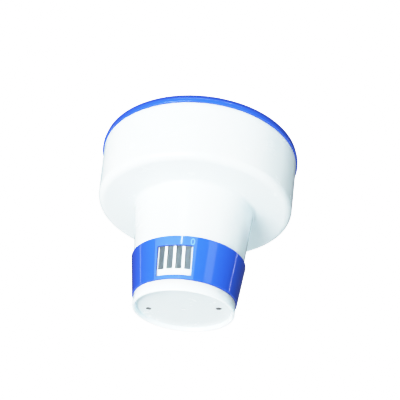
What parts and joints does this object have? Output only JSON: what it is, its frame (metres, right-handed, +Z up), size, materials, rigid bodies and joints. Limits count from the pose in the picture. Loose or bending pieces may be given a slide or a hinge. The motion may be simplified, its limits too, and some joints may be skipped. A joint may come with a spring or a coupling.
{
  "type": "floating chlorine dispenser",
  "caption": "Round float with a slotted tablet canister hanging below it, a turning dosing ring over the slots and a screw lid on top.",
  "frame": {"origin": "centre of the foot ring, on the plane the dispenser stands on", "axes": "+Z up along the canister and float axis to the lid; the dosing window faces 16 degrees to the -X side of -Y"},
  "size_m": [0.2, 0.2, 0.1939],
  "materials": {
    "white_plastic": "moulded white, satin to gloss",
    "blue_plastic": "moulded blue, gloss",
    "ring_plastic": "moulded blue, gloss",
    "seal_rubber": "matt black"
  },
  "bodies": {
    "float": {"float_bowl": "white_plastic", "float_cover": "blue_plastic", "rim_seal": "seal_rubber", "tube_seal": "seal_rubber", "base_cap": "white_plastic"},
    "dosing_ring": {"dosing_ring": "ring_plastic"},
    "lid_seal": {"lid_seal": "seal_rubber"},
    "lid": {"screw_lid": "blue_plastic"}
  },
  "joints": [
    {"name": "ring_turn", "type": "hinge", "parent": "float", "child": "dosing_ring", "pos_m": [0, 0, 0.03], "axis": [0, 0, 1], "range_deg": [0, 45]},
    {"name": "lid_rise", "type": "slide", "parent": "float", "child": "lid_seal", "axis": [0, 0, 1], "range_m": [0, 0.0063]},
    {"name": "lid_turn", "type": "hinge", "parent": "lid_seal", "child": "lid", "pos_m": [0, 0, 0.18], "axis": [0, 0, 1], "range_deg": [0, 150]}
  ],
  "couplings": [
    {"joint": "lid_rise", "follows": "lid_turn", "m_per_rad": 0.0023873}
  ]
}
